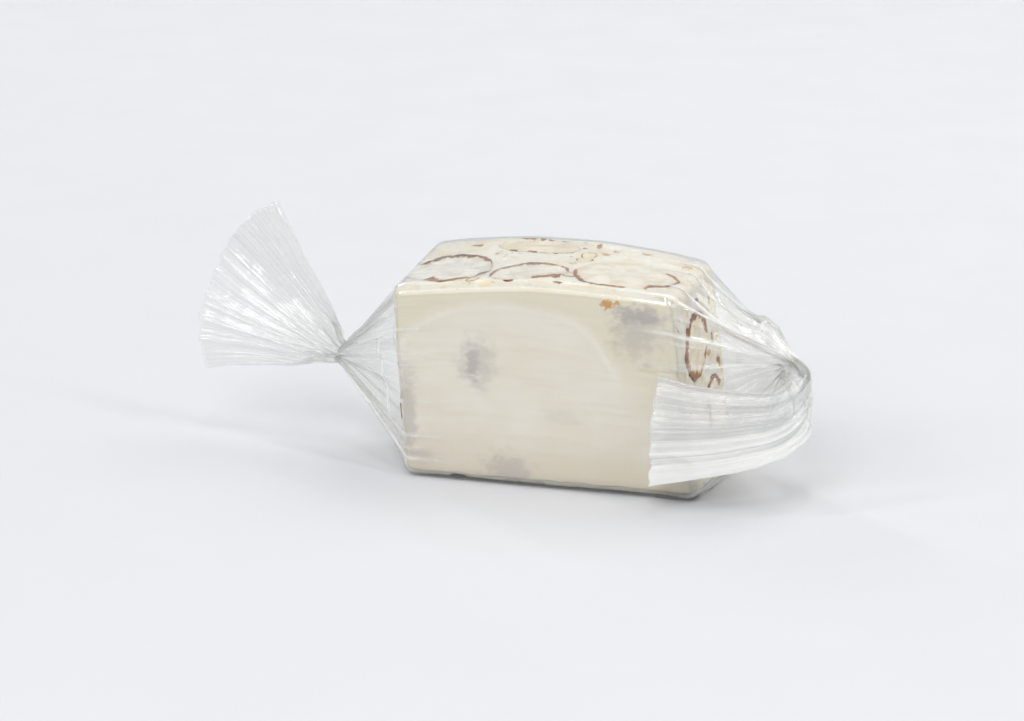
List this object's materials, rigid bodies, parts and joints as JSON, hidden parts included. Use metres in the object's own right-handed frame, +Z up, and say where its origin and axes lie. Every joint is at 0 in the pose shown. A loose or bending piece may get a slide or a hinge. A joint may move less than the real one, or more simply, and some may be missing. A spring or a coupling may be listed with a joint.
{
  "type": "wrapped almond nougat",
  "caption": "Bite-sized block of soft almond nougat between wafer sheets, standing on a cut side in a clear film wrapper gathered and twisted at both ends.",
  "frame": {"origin": "middle of the film's flat underside, where the sweet stands, below the middle of the block", "axes": "+Z up from the surface it stands on; +X along the block and its wrapper, towards the folded-over tail; -Y out of the front wafer, towards the viewer"},
  "size_m": [0.0826, 0.0254, 0.0325],
  "materials": {
    "clear_film": "gloss",
    "nougat": "matte",
    "wafer": "matte",
    "almond": "satin"
  },
  "bodies": {
    "root": {"film_wrapper": "clear_film", "nougat": "nougat", "wafer_front": "wafer", "wafer_back": "wafer", "almond_top_left": "almond", "almond_top_middle": "almond", "almond_top_right": "almond", "almond_top_back": "almond", "almond_right_upper": "almond", "almond_right_lower": "almond", "almond_left_upper": "almond", "almond_left_lower": "almond", "almond_bottom_left": "almond", "almond_bottom_middle": "almond", "almond_bottom_right": "almond"}
  },
  "joints": []
}
